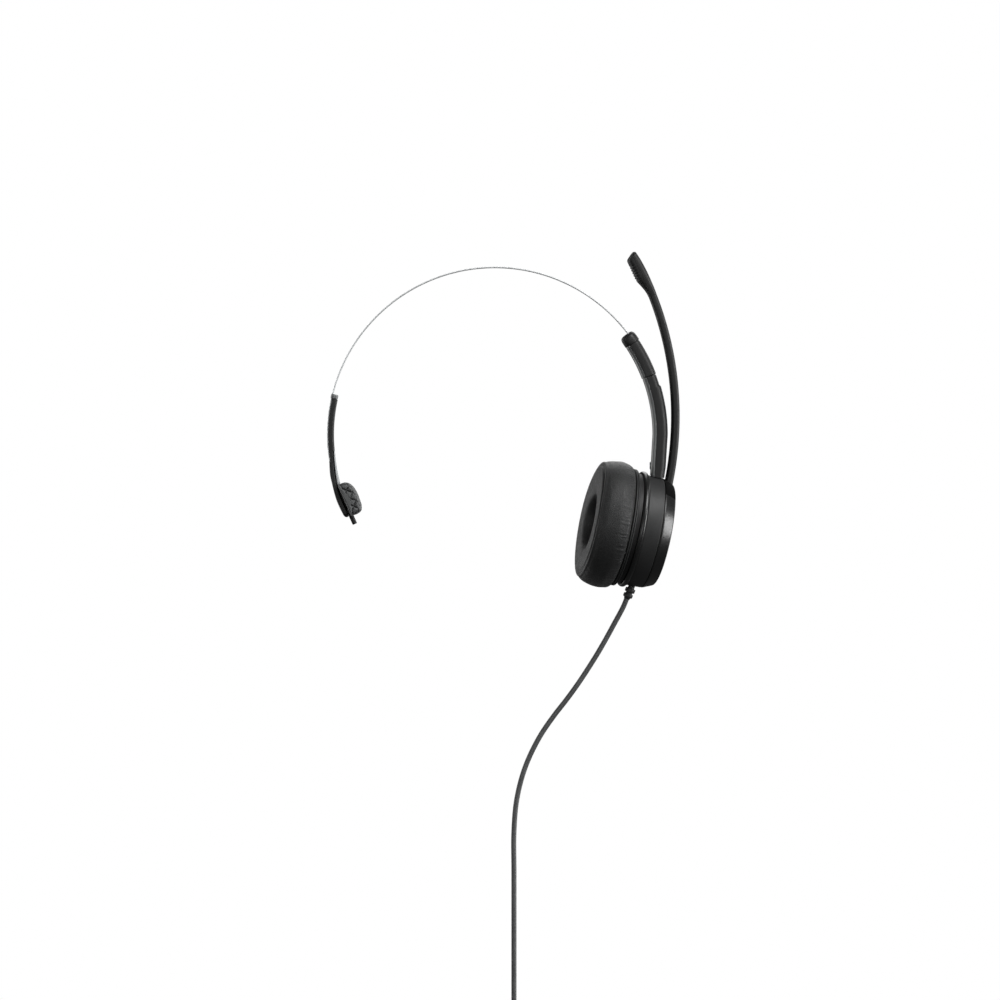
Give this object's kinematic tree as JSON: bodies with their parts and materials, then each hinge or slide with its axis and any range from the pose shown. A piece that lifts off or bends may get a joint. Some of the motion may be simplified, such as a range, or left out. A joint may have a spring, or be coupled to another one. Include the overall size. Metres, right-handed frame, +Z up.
{
  "type": "office headset",
  "caption": "Monaural wired office headset: spring band with temple pad, sizing arm, swivelling round ear cup, rotating mic boom and tied USB lead.",
  "frame": {"origin": "inside of the spring band at the crown of the head, in the band's middle plane", "axes": "+Z up away from the head, +X from the temple pad towards the ear cup, +Y front to back across the band's width"},
  "size_m": [0.1693, 0.0624, 0.4579],
  "materials": {
    "spring_steel": "satin rolled strip",
    "bright_metal": "nickel plated",
    "steel": "zinc plated",
    "housing_plastic": "satin moulded dark grey",
    "shell_plastic": "fine textured near-black",
    "cover_plastic": "polished mid grey",
    "bracket_plastic": "satin light grey",
    "gloss_plastic": "polished dark grey",
    "inner_plastic": "moulded black",
    "leatherette": "soft grained leatherette over foam",
    "pad_rubber": "soft rubber with a net pattern",
    "speaker_fabric": "black woven cloth",
    "circuit_board": "green solder mask",
    "cord_rubber": "smooth dark grey jacket",
    "plug_plastic": "white contact carrier"
  },
  "bodies": {
    "headband": {"band_strip": "spring_steel", "band_collar": "cover_plastic", "temple_arm_shell": "shell_plastic", "pad_bracket": "bracket_plastic", "strip_shoe": "inner_plastic", "shoe_rivet": "steel", "temple_rivet_1": "steel", "temple_rivet_2": "steel", "pad_pin": "inner_plastic"},
    "temple_pad_body": {"pad_carrier": "inner_plastic", "temple_pad": "pad_rubber"},
    "sizing_arm": {"arm_cap": "shell_plastic", "arm_upper_shell": "shell_plastic", "arm_upper_cover": "cover_plastic", "arm_lower_shell": "shell_plastic", "arm_lower_cover": "cover_plastic", "click_spring": "steel", "arm_screw": "steel", "swivel_post": "steel", "swivel_clip": "steel"},
    "cup_yoke": {"swivel_block": "inner_plastic", "tilt_pin_front": "steel", "tilt_pin_rear": "steel"},
    "ear_cup": {"housing_drum": "housing_plastic", "rim_ring": "gloss_plastic", "baffle_plate": "inner_plastic", "cushion_ring": "housing_plastic", "ear_cushion": "leatherette", "speaker_cloth": "speaker_fabric", "speaker_grille": "inner_plastic", "driver_basket": "steel", "driver_magnet": "steel", "voice_coil": "bright_metal", "driver_diaphragm": "inner_plastic", "circuit_board": "circuit_board", "hub_bush": "steel", "hub_screw": "steel", "retaining_plate": "steel", "hub_cap": "housing_plastic", "strain_relief": "cord_rubber", "baffle_screw_1": "steel", "baffle_screw_2": "steel", "baffle_screw_3": "steel", "baffle_screw_4": "steel", "friction_washer": "steel", "cord_tube": "cord_rubber", "cord_coil": "cord_rubber", "coil_tie": "inner_plastic", "cord_tail": "cord_rubber", "usb_overmould": "cord_rubber", "usb_shell": "bright_metal", "usb_tongue": "plug_plastic"},
    "mic_boom": {"boom_hub_ring": "gloss_plastic", "boom_root": "shell_plastic", "boom_arm": "shell_plastic", "mic_capsule_back": "shell_plastic", "mic_capsule_front": "shell_plastic", "mic_element": "steel", "mic_gasket": "inner_plastic"}
  },
  "joints": [
    {"name": "size_adjust", "type": "hinge", "parent": "headband", "child": "sizing_arm", "pos_m": [0, 0, -0.08], "axis": [0, 1, 0], "range_deg": [-10, 14]},
    {"name": "cup_swivel", "type": "hinge", "parent": "sizing_arm", "child": "cup_yoke", "pos_m": [0.07674, 0, -0.10655], "axis": [0.1959, 0, 0.9806], "range_deg": [-24, 6]},
    {"name": "cup_tilt", "type": "hinge", "parent": "cup_yoke", "child": "ear_cup", "pos_m": [0.07674, 0, -0.10655], "axis": [-0.1534, 0.9877, 0.0306], "range_deg": [-1.8, 4]},
    {"name": "boom_rotation", "type": "hinge", "parent": "ear_cup", "child": "mic_boom", "pos_m": [0.08064, 0.00128, -0.12834], "axis": [0.9685, 0.1564, -0.1935], "range_deg": [-150, 150]},
    {"name": "pad_swivel", "type": "hinge", "parent": "headband", "child": "temple_pad_body", "pos_m": [-0.07208, 0, -0.11209], "axis": [0.4067, 0, -0.9135], "range_deg": [-8, 8]}
  ]
}
